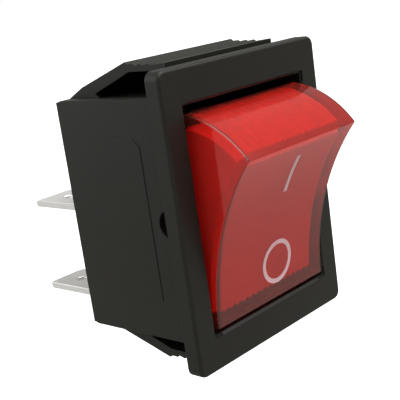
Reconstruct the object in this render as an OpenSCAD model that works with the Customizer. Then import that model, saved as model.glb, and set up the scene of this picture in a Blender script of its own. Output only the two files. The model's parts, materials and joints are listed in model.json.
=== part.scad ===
// Snap-in panel rocker switch: two poles, on and off, with a lamp in the rocker.
// X runs across the panel, Y goes into it and Z goes up the long side.
// The origin is the centre of the panel opening, on the bezel's rear face.
// The rocker stands in its off position, with its lower end pressed in.

/* [Bezel] */
// Height of the bezel, along Z
bezel_h = 31.6; // [29.6:0.1:36]
// Width of the bezel, along X
bezel_w = 25.4; // [24.6:0.1:30]
// Thickness of the bezel
bezel_t = 2.1; // [1.8:0.1:3]
// Radius of the bezel's four corners
bezel_corner_r = 1; // [1:0.1:2]
// Radius round the bezel's front edge
bezel_edge_r = 0.4; // [0.2:0.1:0.9]
// Chamfer round the bezel's rear edge
bezel_back_chamfer = 0.25; // [0.1:0.05:0.6]
// Chamfer round the window in the bezel
window_chamfer = 0.25; // [0.1:0.05:0.4]

/* [Housing] */
// Depth of the housing behind the bezel
body_depth = 15.9; // [15.5:0.1:20]
// Thickness of the two side walls, which carry the rocker's pins
side_wall = 1.2; // [1:0.1:1.6]
// Thickness of the upper and lower walls
end_wall = 0.8; // [0.8:0.02:1.2]
// How far the side walls stand above the upper and lower walls
side_wall_rise = 0.15; // [0.1:0.05:0.6]
// Thickness of the rear wall, which holds the terminals
rear_wall = 1.5; // [1.2:0.1:2]
// Thickness of the wall between the two poles
barrier_t = 1.2; // [0.8:0.1:2]
// Rounding of the rear corners of the side walls
body_corner_r = 0.8; // [0.4:0.1:1.5]
// Depth of the shallow recess in the outside of each side wall
recess_depth = 0.15; // [0.1:0.05:0.3]
// Clearance round each terminal in the rear wall
slot_clear = 0.05; // [0.02:0.01:0.2]

/* [Latch wings] */
// Width of each latch wing, along X
wing_w = 17.3; // [12:0.1:18.5]
// How much wider each side of the wing is at its root
wing_flare = 0.4; // [0:0.1:0.6]
// Thickness of a latch wing
wing_t = 1.05; // [0.8:0.05:1.4]
// Height of the wing's crest over the upper wall
wing_rise = 3.65; // [3.2:0.05:4]
// Distance of the wing's crest behind the bezel
wing_crest_y = 6.5; // [6.2:0.1:8]
// Gap between the wing's free end and the bezel
wing_gap = 0.7; // [0.5:0.05:1]
// Number of ratchet teeth that grip the panel, with the crest
tooth_count = 4; // [3:1:5]
// Distance from one tooth to the next
tooth_pitch = 1.13; // [0.9:0.01:1.2]
// Height of the steep face of a tooth
tooth_h = 0.24; // [0.15:0.01:0.35]

/* [Rocker] */
// Radius of the rocker's two ends
rocker_r = 11.45; // [11.2:0.05:12]
// How far the middle of that radius lies in front of the pivot
rocker_lead = 0.75; // [0.5:0.05:1]
// Width of the rocker, along X
rocker_w = 18.6; // [18.4:0.1:19]
// Radius of the hollow front face
face_r = 28.2; // [24:0.1:36]
// Angle from the middle of the front face to each ridge, seen from the pivot
ridge_angle = 53.9; // [52:0.1:55]
// Angle from the middle of the front face to the lower edge of each end
skirt_angle = 99; // [97:0.5:101]
// How far the rocker leans from the middle to either side
half_travel = 20.5; // [18:0.5:21]
// Distance of the pivot behind the bezel's rear face
pivot_y = 1; // [0.8:0.05:1.3]
// Diameter of the pivot pins
pin_d = 3; // [2.6:0.1:3.4]
// Radial clearance of the pins in their holes
pin_clear = 0.07; // [0.03:0.01:0.09]
// How far each pin's end lies inside the side wall
pin_recess = 0.6; // [0.2:0.1:0.7]
// Least gap between the rocker's ends and the window
end_gap = 0.3; // [0.2:0.02:0.6]
// Gap between the rocker's sides and the housing
rocker_side_gap = 0.4; // [0.3:0.05:0.7]
// Wall of the clear lens
lens_wall = 1.3; // [1:0.1:1.5]
// Clearance between the lens and the core
core_clear = 0.1; // [0.05:0.05:0.2]
// Wall of the core
core_wall = 1; // [0.8:0.1:1.2]
// Width of one flute round the ends of the core
flute_w = 1.05; // [0.9:0.05:1.5]
// Depth of the flutes
flute_depth = 0.4; // [0.2:0.05:0.5]
// How far the core's rear edge lies behind the pivot
core_depth = 1.6; // [1.2:0.1:1.8]

/* [Plungers] */
// Distance of each pole from the middle of the switch
pole_x = 5.8; // [5.4:0.1:6]
// Diameter of a plunger
plunger_d = 2.8; // [2.4:0.1:3]
// Radius of the plunger's round nose
nose_r = 1; // [0.8:0.05:1.2]
// Depth that the contacts take, from the centres of the noses to the housing's rear
contact_room = 6.9; // [6.8:0.05:7.2]
// Radial clearance of the plunger in its barrel
plunger_clear = 0.05; // [0.03:0.01:0.1]
// Wall of a plunger barrel
barrel_wall = 0.6; // [0.5:0.05:0.65]
// Distance from the rear end of a barrel to the centre of the nose
nose_stand = 2.5; // [2:0.1:3]
// Distance from the pivot to the tail of a plunger
tail_reach = 2.4; // [2:0.1:3]
// Wire of the plunger springs
spring_wire = 0.32; // [0.25:0.01:0.4]
// Number of turns of a plunger spring
spring_turns = 6; // [4:1:7]

/* [Contacts] */
// Thickness of a contact bridge
bridge_t = 0.5; // [0.4:0.05:0.6]
// Width of a contact bridge
bridge_w = 4.2; // [3.8:0.1:4.6]
// How far a bridge rocks from the middle to either side
bridge_tilt = 8; // [6:0.5:9]
// Half the length of the bent middle of a bridge
bridge_knee = 3.6; // [3.4:0.1:4]
// Length of each arm of a bridge, from its pivot
bridge_reach = 8.8; // [8.6:0.1:9]
// Distance from a bridge's pivot to its contact
contact_reach = 7.6; // [7.2:0.1:7.8]
// Radius of the bead that a bridge rocks on
bead_r = 0.25; // [0.2:0.01:0.3]
// Clearance of that bead in the terminal's groove
bead_clear = 0.02; // [0.01:0.01:0.04]
// Least gap between a plunger and its bridge over the travel
nose_gap = 0.05; // [0.03:0.01:0.1]
// Diameter of the contact rivets' heads
contact_d = 3.2; // [2.8:0.1:3.4]
// Thickness of the contact rivets' heads
contact_t = 0.8; // [0.6:0.05:0.9]
// Height of the dome on the moving contact
contact_dome = 0.35; // [0.25:0.05:0.4]
// Diameter of the contact rivets' shanks
shank_d = 1.6; // [1.2:0.1:1.8]
// Height of a rivet's closed end
rivet_end = 0.3; // [0.2:0.05:0.4]
// Gap left between a pair of contacts when it is closed
closed_gap = 0.05; // [0.02:0.01:0.1]

/* [Terminals] */
// Width of a terminal tab
tab_w = 5.2; // [4.8:0.1:5.6]
// Thickness of the terminals
tab_t = 0.8; // [0.6:0.05:1]
// Distance from the bezel's rear face to the tips of the tabs
tab_reach = 26.8; // [24:0.1:32]
// Distance of the end terminals below the middle
tab_pitch = 10.56; // [10.2:0.02:10.8]
// Diameter of the hole in a tab
tab_hole_d = 1.4; // [1.3:0.1:2]
// Distance of that hole from the tab's tip
tab_hole_inset = 3.7; // [3:0.1:4.5]
// Rounding of the tab's corners
tab_corner_r = 0.9; // [0.5:0.1:1.4]
// Length of the bevel at the tab's tip
tab_bevel = 0.8; // [0.4:0.1:1.2]

/* [Lamp] */
// Diameter of the lamp's glass
lamp_d = 3.8; // [3.4:0.1:4]
// Length of the lamp's glass
lamp_len = 9; // [7:0.5:9.5]
// How far the lamp reaches below the pivot
lamp_drop = 6; // [5:0.1:6.2]
// Diameter of the lamp's leads
lead_d = 0.4; // [0.3:0.05:0.5]
// Diameter of the series resistor
resistor_d = 1.8; // [1.5:0.1:2]
// Length of the series resistor
resistor_len = 3.6; // [3:0.1:4]

/* [Hidden] */

LEFT = -1;
RIGHT = 1;
// Cutters pass a surface by this much
over = 1;
$fn = 64;

black_plastic = [0.17, 0.17, 0.16];
clear_red = [0.8, 0.1, 0.1, 0.6];
bright_red = [0.95, 0.2, 0.17];
copper = [0.8, 0.5, 0.3];
brass = [0.83, 0.69, 0.4];
silver = [0.82, 0.82, 0.82];

// Housing, worked out from the rocker that it takes
window_w = rocker_w + 2 * rocker_side_gap;
window_h = 2 * (rocker_r + rocker_lead * sin(half_travel) + end_gap);
body_w = window_w + 2 * side_wall;
end_face_z = window_h / 2 + end_wall;
side_face_z = end_face_z + side_wall_rise;
rear_inside_y = body_depth - rear_wall;
barrier_air = 0.9;
barrier_y = pivot_y - rocker_r * cos(skirt_angle + half_travel) + barrier_air;

// Latch wings
crest_z = end_face_z + wing_rise;
wing_bulge = [2.4, 0.3];
wing_flat = 2.4;
wing_under_lead = 0.4;
wing_root_len = 4.35;
wing_root_fill = [1, 0.5];
wing_end_t = 0.8;
tooth_ramp = 0.3;
wing_flank = 0.3;
land_rise = 0.03;

// Recess in the side walls
recess_y = [3.8, 9.3];
recess_z = [-8.5, 9];
recess_corner = 1;

// Rocker, with the pivot at the origin and the front face towards -Y
ridge_reach = rocker_r + rocker_lead * cos(ridge_angle);
ridge = ridge_reach * [-cos(ridge_angle), sin(ridge_angle)];
face_y = ridge[0] - sqrt(pow(face_r, 2) - pow(ridge[1], 2));
skirt_y = -rocker_r * cos(skirt_angle);
pin_air = 0.4;
pin_slot = pin_d + 2 * pin_air;
boss_wall = 0.8;
core_w = rocker_w - 2 * (lens_wall + core_clear);
core_r = rocker_r - lens_wall - core_clear;
core_face_r = face_r + lens_wall + core_clear;
core_face_y = face_y + core_face_r;
pin_reach = body_w / 2 - pin_recess;
flutes = floor(core_w / flute_w);

// Plungers and springs
nose_reach = body_depth - pivot_y - contact_room;
barrel_reach = nose_reach - nose_stand;
barrel_r = plunger_d / 2 + plunger_clear;
barrel_floor_t = 0.35;
barrel_floor_y = core_face_y + core_wall + barrel_floor_t;
neck_len = 0.8;
neck_reach = nose_reach - neck_len;
spring_seat = 0.05;
spring_air = 0.12;
spring_from_y = barrel_floor_y + lead_d + spring_seat;
spring_to_y = tail_reach - spring_seat;
spring_r = barrel_r - spring_wire / 2 - spring_air;
spring_sides = 8;
spring_steps = 14;

// Contact bridges: their V keeps the nose's gap nearly the same over the travel
bridge_angle = bridge_tilt + half_travel / 2;
travel_step = half_travel / 40;
bridge_y = pivot_y + nose_reach + max([
    for (lean = [0 : travel_step : half_travel])
        let (slope = bridge_angle - bridge_tilt * lean / half_travel)
            (nose_r + nose_gap + bridge_t + nose_reach * sin(lean) * sin(slope)) / cos(slope)
                - nose_reach * (1 - cos(lean))
]);
bridge_front = bridge_t / cos(bridge_angle);
arm_front = bridge_front + bridge_knee * tan(bridge_angle);
arm_rear = arm_front - bridge_t;
waist_w = 2.7;
waist_half = 0.75;
bridge_corner = 1;
rest_post_z = contact_reach;
rest_post_h = 2;

// Moving contact's dome, and where it comes down on the fixed contact
dome_r = (pow(contact_d / 2, 2) + pow(contact_dome, 2)) / (2 * contact_dome);
dome_centre = arm_rear - contact_t + dome_r;
fixed_face_y = bridge_y - dome_centre * cos(bridge_tilt) + contact_reach * sin(bridge_tilt)
    + dome_r + closed_gap;
fixed_z = -(dome_centre * sin(bridge_tilt) + contact_reach * cos(bridge_tilt));
fixed_rim = 0.1;
fixed_d = contact_d + 2 * fixed_rim;
rivet_rim = 0.3;
rivet_d = shank_d + 2 * rivet_rim;
rivet_air = 0.2;
fit_gap = 0.02;

// Terminals
shelf_y = fixed_face_y + contact_t;
shelf_rim = 0.2;
shelf_to_z = fixed_z + fixed_d / 2 + shelf_rim;
bend_r = 0.5;
ear_reach = 1.6;
ear_air = 0.1;
ear_x = waist_w / 2 + ear_air;
tab_tip_t = tab_t / 2;

// Lamp, resistor and leads, placed in the core
lamp_air = 0.4;
lamp_y = core_face_y + core_wall + lamp_air + lamp_d / 2;
lamp_z = [-lamp_drop, lamp_len - lamp_drop];
pinch = [0.7 * lamp_d, 0.3 * lamp_d, 1];
lead_x = 0.5;
lead_seat = 0.03;
lead_air = 0.1;
lead_y = barrel_floor_y + lead_d / 2 + lead_seat;
resistor_z = 6;
resistor_x = [-1 - resistor_len, -1];
resistor_waist = 0.8 * resistor_d;
resistor_cap = 0.3 * resistor_len;
right_lead_z = 4.9;
saddle_z = [-4.5, 1.2];
saddle_t = 0.8;
saddle_wall = 0.7;

// Lays a shape drawn as (y, z) across the switch, centred on X
module across(width) {
    rotate([90, 0, 90]) linear_extrude(width, center = true) children();
}

// Puts what is drawn about the pivot into the rocker's off position
module at_rocker() {
    translate([0, pivot_y, 0]) rotate([half_travel, 0, 0]) children();
}

// Puts what is drawn about the bridge's pivot edge into the off position
module at_bridge(side) {
    translate([side * pole_x, bridge_y, 0]) rotate([-bridge_tilt, 0, 0]) children();
}

// A rod along +Y, from one depth to another
module rod(d, from, to) {
    translate([0, from, 0]) rotate([-90, 0, 0]) cylinder(d = d, h = to - from);
}

// ---- Housing ----

// Section through the bezel, from its rear face at 0, with rounded front edges
module bezel_section(width) {
    inner = width / 2 - bezel_edge_r;
    seat = width / 2 - bezel_back_chamfer;
    side_t = bezel_t - bezel_edge_r;
    polygon([
        [-seat, 0], [seat, 0], [width / 2, bezel_back_chamfer], [width / 2, side_t],
        [-width / 2, side_t], [-width / 2, bezel_back_chamfer],
    ]);
    translate([-inner, 0]) square([2 * inner, bezel_t]);
    for (x = [-inner, inner]) translate([x, side_t]) circle(bezel_edge_r);
}

module bezel() {
    post = [bezel_w / 2 - bezel_corner_r, bezel_h / 2 - bezel_corner_r];
    rotate([90, 0, 0]) {
        rotate([90, 0, 90]) linear_extrude(2 * post.x, center = true) bezel_section(bezel_h);
        rotate([90, 0, 0]) linear_extrude(2 * post.y, center = true) bezel_section(bezel_w);
        for (x = [-post.x, post.x], y = [-post.y, post.y]) translate([x, y, 0])
            rotate_extrude() intersection() {
                bezel_section(2 * bezel_corner_r);
                square([bezel_corner_r, bezel_t]);
            }
    }
}

// Bevels the window's front edge, one wedge for each side
module window_bevel() {
    module wedge(length) {
        linear_extrude(length + 2 * window_chamfer, center = true)
            polygon([[-over, over], [window_chamfer, over], [window_chamfer, 0], [0, -window_chamfer],
                [-over, -window_chamfer]]);
    }
    for (turn = [0, 180]) rotate([0, turn, 0]) {
        translate([window_w / 2, -bezel_t, 0]) mirror([0, 1, 0]) wedge(window_h);
        translate([0, -bezel_t, window_h / 2]) rotate([0, -90, 0]) mirror([0, 1, 0]) wedge(window_w);
    }
}

// Side view of the upper latch wing: a ramp up to the crest, then the ratchet
// teeth, whose steep faces turn to the bezel and hold the panel's edge
module wing_profile() {
    root_z = end_face_z - end_wall / 2;
    slope = wing_rise / (body_depth - wing_crest_y);
    land_z = crest_z - wing_flank;
    under_z = crest_z - wing_t;
    root_front = body_depth - wing_root_len;
    function tooth_y(i) = wing_crest_y - i * tooth_pitch;
    function tooth_z(i) = i == 0 ? crest_z : land_z + land_rise * (tooth_count - i);
    teeth = [
        for (i = [0 : tooth_count - 1])
            each [[tooth_y(i), tooth_z(i)], [tooth_y(i) - tooth_ramp, tooth_z(min(i, 1)) - tooth_h]]
    ];
    polygon(concat(
        [
            [body_depth, root_z],
            [body_depth, end_face_z],
            [body_depth - wing_bulge[0], end_face_z + slope * wing_bulge[0] + wing_bulge[1]],
        ],
        teeth,
        [
            [wing_gap, land_z],
            [wing_gap, land_z - wing_end_t],
            [wing_crest_y - wing_flat, under_z],
            [wing_crest_y - wing_under_lead, under_z],
            [root_front, end_face_z + wing_root_fill[1]],
            [root_front - wing_root_fill[0], root_z],
        ]
    ));
}

// Both wings, which flare from the crest to their roots
module latch_wings() {
    root = wing_w / 2 + wing_flare;
    for (flip = [0, 1]) mirror([0, 0, flip]) intersection() {
        across(2 * root) wing_profile();
        linear_extrude(crest_z + over)
            polygon([
                [-wing_w / 2, 0], [wing_w / 2, 0], [wing_w / 2, wing_crest_y], [root, body_depth],
                [-root, body_depth], [-wing_w / 2, wing_crest_y],
            ]);
    }
}

// The tube behind the bezel, closed at the rear
module body_shell() {
    translate([0, body_depth / 2, 0]) {
        cube([body_w, body_depth, 2 * end_face_z], center = true);
        for (side = [-1, 1])
            translate([side * (body_w - side_wall) / 2, 0, 0]) side_plate();
    }
}

module side_plate() {
    corner = [body_depth / 2 - body_corner_r, side_face_z - body_corner_r];
    across(side_wall) {
        square([2 * corner.x, 2 * side_face_z], center = true);
        square([body_depth, 2 * corner.y], center = true);
        translate([-body_corner_r, 0]) square([2 * corner.x, 2 * side_face_z], center = true);
        for (z = [-corner.y, corner.y]) translate([corner.x, z]) circle(body_corner_r);
    }
}

// Shallow recess outside each side wall, with its upper front corner cut off
module side_recess() {
    for (side = [-1, 1])
        translate([side * body_w / 2, 0, 0]) across(2 * recess_depth)
            polygon([
                [recess_y[0], recess_z[0]], [recess_y[1], recess_z[0]], [recess_y[1], recess_z[1]],
                [recess_y[0] + recess_corner, recess_z[1]], [recess_y[0], recess_z[1] - recess_corner],
            ]);
}

// What stands inside the housing on its rear wall: the barrier between the
// poles, the posts that the bridges rest on, and the pads under the contacts
module rear_furniture() {
    translate([0, (barrier_y + rear_inside_y) / 2, 0])
        cube([barrier_t, rear_inside_y - barrier_y + fit_gap, window_h + fit_gap], center = true);
    arm_end_z = rest_post_z + rest_post_h / 2;
    post_y = bridge_y - arm_rear * cos(bridge_tilt) + arm_end_z * sin(bridge_tilt) + closed_gap;
    pad_y = shelf_y + tab_t + fit_gap;
    for (side = [LEFT, RIGHT]) translate([side * pole_x, 0, 0]) {
        translate([-bridge_w / 2, post_y, rest_post_z - rest_post_h / 2])
            cube([bridge_w, rear_inside_y - post_y + fit_gap, rest_post_h]);
        difference() {
            translate([-tab_w / 2, pad_y, fixed_z - fixed_d / 2])
                cube([tab_w, rear_inside_y - pad_y + fit_gap, shelf_to_z - fixed_z + fixed_d / 2]);
            translate([0, 0, fixed_z])
                rod(rivet_d + 2 * rivet_air, pad_y - over, pad_y + rivet_end + rivet_air);
        }
    }
}

// Openings through the rear wall, one for each terminal
module terminal_slots() {
    for (side = [LEFT, RIGHT], z = [0, -tab_pitch])
        translate([side * pole_x, body_depth - rear_wall / 2, z])
            cube([tab_w + 2 * slot_clear, rear_wall + 2 * over, tab_t + 2 * slot_clear], center = true);
}

module pivot_holes() {
    translate([0, pivot_y, 0]) rotate([0, 90, 0])
        cylinder(d = pin_d + 2 * pin_clear, h = body_w, center = true);
}

module housing() {
    color(black_plastic) difference() {
        union() {
            difference() {
                union() {
                    bezel();
                    body_shell();
                }
                translate([0, (rear_inside_y - bezel_t - over) / 2, 0])
                    cube([window_w, rear_inside_y + bezel_t + over, window_h], center = true);
            }
            latch_wings();
            rear_furniture();
        }
        window_bevel();
        side_recess();
        pivot_holes();
        terminal_slots();
    }
}

// ---- Rocker ----

// Side view of the rocker inside one radius, behind one hollow face
module rocker_profile(end_r, hollow_r, rear_y) {
    difference() {
        intersection() {
            translate([-rocker_lead, 0]) circle(end_r, $fn = 128);
            translate([-2 * end_r + rear_y, -end_r]) square([2 * end_r, 2 * end_r]);
        }
        translate([face_y, 0]) circle(hollow_r, $fn = 256);
    }
}

module rocker_lens() {
    cavity_r = rocker_r - lens_wall;
    color(clear_red) at_rocker() difference() {
        across(rocker_w) rocker_profile(rocker_r, face_r, skirt_y);
        across(rocker_w - 2 * lens_wall) rocker_profile(cavity_r, face_r + lens_wall, skirt_y + over);
        across(rocker_w + over) {
            circle(d = pin_slot);
            translate([0, -pin_slot / 2]) square([skirt_y + over, pin_slot]);
        }
    }
}

// The core's outside: a drum whose ends are fluted
module fluted_drum() {
    fluted_w = flutes * flute_w;
    translate([0, -rocker_lead, 0]) rotate([0, 90, 0]) rotate_extrude($fn = 128) polygon(concat(
        [[0, -core_w / 2], [core_r - flute_depth, -core_w / 2]],
        [
            for (i = [0 : flutes - 1]) each [
                [core_r - flute_depth, i * flute_w - fluted_w / 2],
                [core_r, (i + 0.5) * flute_w - fluted_w / 2],
            ]
        ],
        [[core_r - flute_depth, fluted_w / 2], [core_r - flute_depth, core_w / 2], [0, core_w / 2]]
    ));
}

module plunger_barrels() {
    for (side = [LEFT, RIGHT]) translate([side * pole_x, 0, 0])
        rod(2 * (barrel_r + barrel_wall), core_face_y + core_wall / 2, barrel_reach);
}

// Bores for the plungers, and a window in each barrel for the lamp's lead
module plunger_bores() {
    for (side = [LEFT, RIGHT]) translate([side * pole_x, 0, 0]) {
        rod(2 * barrel_r, barrel_floor_y, barrel_reach + over);
        translate([-lead_d / 2 - lead_air, barrel_floor_y, 0])
            cube([lead_d + 2 * lead_air, lead_d + 2 * lead_air, barrel_r + barrel_wall + over]);
    }
}

// Two ribs that hold the lamp's glass
module lamp_saddles() {
    difference() {
        for (z = saddle_z)
            translate([-lamp_d / 2 - saddle_wall, core_face_y + core_wall / 2, z - saddle_t / 2])
                cube([lamp_d + 2 * saddle_wall, lamp_y - core_face_y - core_wall / 2, saddle_t]);
        translate([0, lamp_y, 0]) cylinder(d = lamp_d + 2 * fit_gap, h = 4 * lamp_len, center = true);
    }
}

module pivot_pins() {
    rotate([0, 90, 0]) difference() {
        cylinder(d = pin_d, h = 2 * pin_reach, center = true);
        cylinder(d = 2 * pin_d, h = core_w - 2 * core_wall, center = true);
    }
}

module rocker_core() {
    hollow_w = core_w - 2 * core_wall;
    hollow_r = core_r - flute_depth - core_wall;
    boss_d = pin_d + 2 * boss_wall;
    color(bright_red) at_rocker() difference() {
        union() {
            difference() {
                union() {
                    intersection() {
                        fluted_drum();
                        across(core_w) rocker_profile(rocker_r, core_face_r, core_depth);
                    }
                    across(core_w) circle(d = boss_d);
                }
                across(hollow_w) rocker_profile(hollow_r, core_face_r + core_wall, boss_d);
            }
            plunger_barrels();
            lamp_saddles();
            pivot_pins();
        }
        plunger_bores();
    }
}

// ---- Lamp ----

module neon_lamp() {
    tip = lamp_d / 2;
    color([1, 0.75, 0.6, 0.5]) at_rocker() translate([0, lamp_y, 0]) {
        translate([0, 0, lamp_z[0] + tip]) {
            cylinder(d = lamp_d, h = lamp_len - 2 * tip);
            sphere(tip);
        }
        translate([0, 0, lamp_z[1] - tip]) sphere(tip);
        translate([-pinch.x / 2, -pinch.y / 2, lamp_z[1] - tip])
            cube([pinch.x, pinch.y, tip + pinch.z]);
    }
}

// Wire through a list of points, with a ball at every corner
module wire(points, d) {
    for (i = [0 : len(points) - 2]) {
        step = points[i + 1] - points[i];
        turn = [0, acos(step.z / norm(step)), atan2(step.y, step.x)];
        translate(points[i]) rotate(turn) cylinder(d = d, h = norm(step), $fn = 24);
        if (i > 0) translate(points[i]) sphere(d = d, $fn = 24);
    }
}

module lamp_resistor() {
    color([0.45, 0.3, 0.2]) at_rocker() {
        translate([resistor_x[0], lamp_y, resistor_z]) rotate([0, 90, 0]) {
            cylinder(d = resistor_waist, h = resistor_len);
            for (z = [0, resistor_len - resistor_cap]) translate([0, 0, z])
                cylinder(d = resistor_d, h = resistor_cap);
        }
        wire([
            [resistor_x[0], lamp_y, resistor_z], [-pole_x, lamp_y, resistor_z],
            [-pole_x, lead_y, resistor_z], [-pole_x, lead_y, -barrel_r / 2],
        ], lead_d);
    }
}

module lamp_lead(side) {
    from_z = lamp_z[1] + pinch.z + fit_gap;
    color(silver) at_rocker()
        if (side == LEFT)
            wire([
                [-lead_x, lamp_y, from_z], [-lead_x, lamp_y, resistor_z],
                [resistor_x[1] + fit_gap, lamp_y, resistor_z],
            ], lead_d);
        else
            wire([
                [lead_x, lamp_y, from_z], [lead_x, lamp_y, right_lead_z],
                [pole_x, lamp_y, right_lead_z], [pole_x, lead_y, right_lead_z],
                [pole_x, lead_y, -barrel_r / 2],
            ], lead_d);
}

// ---- Plungers ----

module plunger(side) {
    color(brass) at_rocker() translate([side * pole_x, 0, 0]) {
        rod(plunger_d, tail_reach, neck_reach);
        translate([0, neck_reach, 0]) rotate([-90, 0, 0])
            cylinder(d1 = plunger_d, r2 = nose_r, h = nose_reach - neck_reach);
        translate([0, nose_reach, 0]) sphere(nose_r);
    }
}

// Coil spring along +Y: a ring of points at each step of the helix
module coil(from, to, coil_r, wire_d, turns) {
    steps = turns * spring_steps;
    rise = (to - from - wire_d) / steps;
    function ring(i) = [
        for (k = [0 : spring_sides - 1])
            let (
                around = 360 * i / spring_steps,
                about = 360 * k / spring_sides,
                r = coil_r + wire_d / 2 * cos(about)
            )
            [r * cos(around), from + wire_d / 2 + i * rise + wire_d / 2 * sin(about), r * sin(around)]
    ];
    points = [for (i = [0 : steps]) each ring(i)];
    last = steps * spring_sides;
    sides = [
        for (i = [0 : steps - 1], k = [0 : spring_sides - 1])
            let (next = (k + 1) % spring_sides, a = i * spring_sides, b = a + spring_sides)
            [a + k, b + k, b + next, a + next]
    ];
    caps = [
        [for (k = [0 : spring_sides - 1]) k],
        [for (k = [spring_sides - 1 : -1 : 0]) last + k],
    ];
    polyhedron(points, concat(sides, caps));
}

module plunger_spring(side) {
    color(silver) at_rocker() translate([side * pole_x, 0, 0])
        coil(spring_from_y, spring_to_y, spring_r, spring_wire, spring_turns);
}

// ---- Contacts ----

// Side view of the strip, bent to a V in its middle, with a flat arm each way
module bridge_profile() {
    rear_knee = arm_rear / tan(bridge_angle);
    front = [
        [-arm_front, -bridge_reach], [-arm_front, -bridge_knee], [-bridge_front, 0],
        [-arm_front, bridge_knee], [-arm_front, bridge_reach],
    ];
    rear = [
        [-arm_rear, bridge_reach], [-arm_rear, rear_knee], [0, 0],
        [-arm_rear, -rear_knee], [-arm_rear, -bridge_reach],
    ];
    polygon(concat(front, rear));
}

module bridge(side) {
    corner = bridge_corner;
    color(copper) at_bridge(side) difference() {
        intersection() {
            union() {
                across(bridge_w) bridge_profile();
                across(waist_w) circle(bead_r);
            }
            rotate([90, 0, 0]) linear_extrude(4 * arm_front, center = true) {
                square([bridge_w, 2 * (bridge_reach - corner)], center = true);
                square([bridge_w - 2 * corner, 2 * bridge_reach], center = true);
                for (x = [-1, 1], z = [-1, 1])
                    translate([x * (bridge_w / 2 - corner), z * (bridge_reach - corner)]) circle(corner);
            }
        }
        for (x = [-1, 1]) translate([x * (waist_w + bridge_w) / 2, 0, 0])
            cube([bridge_w, 4 * arm_front, 2 * waist_half], center = true);
        translate([0, 0, -contact_reach]) rod(shank_d + 2 * fit_gap, -2 * arm_front, over);
    }
}

// Rivet whose domed head lies behind the bridge's lower arm
module moving_contact(side) {
    color(silver) at_bridge(side) translate([0, 0, -contact_reach]) {
        intersection() {
            translate([0, -dome_centre, 0]) sphere(dome_r);
            rod(contact_d, -arm_rear, over);
        }
        rod(shank_d, -arm_front, -arm_rear);
        rod(rivet_d, -arm_front - rivet_end, -arm_front);
    }
}

module fixed_contact(side) {
    color(silver) translate([side * pole_x, 0, fixed_z]) {
        rod(fixed_d, fixed_face_y, shelf_y);
        rod(shank_d, shelf_y, shelf_y + tab_t);
        rod(rivet_d, shelf_y + tab_t, shelf_y + tab_t + rivet_end);
    }
}

// ---- Terminals ----

// Plan of a tab from one depth to its tip, drawn as (x, y), with its hole
module tab_plan(from) {
    difference() {
        union() {
            translate([-tab_w / 2, from]) square([tab_w, tab_reach - tab_corner_r - from]);
            translate([-tab_w / 2 + tab_corner_r, from])
                square([tab_w - 2 * tab_corner_r, tab_reach - from]);
            for (x = [-1, 1]) translate([x * (tab_w / 2 - tab_corner_r), tab_reach - tab_corner_r])
                circle(tab_corner_r);
        }
        translate([0, tab_reach - tab_hole_inset]) circle(d = tab_hole_d);
    }
}

// Side view of a tab, bevelled at its tip, drawn as (y, z)
module tab_edge(from) {
    polygon([
        [from, -tab_t / 2], [from, tab_t / 2], [tab_reach - tab_bevel, tab_t / 2],
        [tab_reach, tab_tip_t / 2], [tab_reach, -tab_tip_t / 2], [tab_reach - tab_bevel, -tab_t / 2],
    ]);
}

module tab(from) {
    intersection() {
        linear_extrude(2 * tab_t, center = true) tab_plan(from);
        across(2 * tab_w) tab_edge(from);
    }
}

// Its front edge is grooved for the bridge's bead, between two ears
module centre_terminal(side) {
    ear_w = tab_w / 2 - ear_x;
    color(silver) translate([side * pole_x, 0, 0]) difference() {
        union() {
            tab(bridge_y);
            for (x = [-tab_w / 2, ear_x])
                translate([x, bridge_y - ear_reach, -tab_t / 2]) cube([ear_w, ear_reach + over, tab_t]);
        }
        translate([0, bridge_y, 0]) across(2 * ear_x) circle(bead_r + bead_clear);
    }
}

// Bent from one strip: a shelf for the contact, then the tab
module end_terminal(side) {
    low_z = -tab_pitch - tab_t / 2;
    outer_r = bend_r + tab_t;
    bend = [shelf_y + outer_r, low_z + outer_r];
    color(silver) translate([side * pole_x, 0, 0]) difference() {
        union() {
            translate([0, 0, -tab_pitch]) tab(bend.x);
            across(tab_w) {
                translate([shelf_y, bend.y]) square([tab_t, shelf_to_z - bend.y]);
                intersection() {
                    translate(bend) difference() {
                        circle(outer_r);
                        circle(bend_r);
                    }
                    translate([shelf_y, low_z]) square(outer_r);
                }
            }
        }
        translate([0, 0, fixed_z]) rod(shank_d + 2 * fit_gap, shelf_y - over, shelf_y + tab_t + over);
    }
}

housing();
rocker_lens();
rocker_core();
neon_lamp();
lamp_resistor();
lamp_lead(LEFT);  // lamp_lead_left
lamp_lead(RIGHT);  // lamp_lead_right
plunger(LEFT);  // plunger_left
plunger(RIGHT);  // plunger_right
plunger_spring(LEFT);  // plunger_spring_left
plunger_spring(RIGHT);  // plunger_spring_right
bridge(LEFT);  // bridge_left
bridge(RIGHT);  // bridge_right
moving_contact(LEFT);  // moving_contact_left
moving_contact(RIGHT);  // moving_contact_right
centre_terminal(LEFT);  // centre_terminal_left
centre_terminal(RIGHT);  // centre_terminal_right
end_terminal(LEFT);  // end_terminal_left
end_terminal(RIGHT);  // end_terminal_right
fixed_contact(LEFT);  // fixed_contact_left
fixed_contact(RIGHT);  // fixed_contact_right
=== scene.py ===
# %% [markdown]
# # A panel rocker switch, dressed for the studio
#
# The switch is a black moulded housing with a clear smoky-red rocker. The solids
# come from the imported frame, in metres, and this lesson gives them their looks. The
# origin is the centre of the panel opening, +Y goes into the panel and +Z is up.

# %% Load the frame
import json
import math

import bmesh
import bpy
import numpy as np
from mathutils import Matrix, Vector


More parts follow.
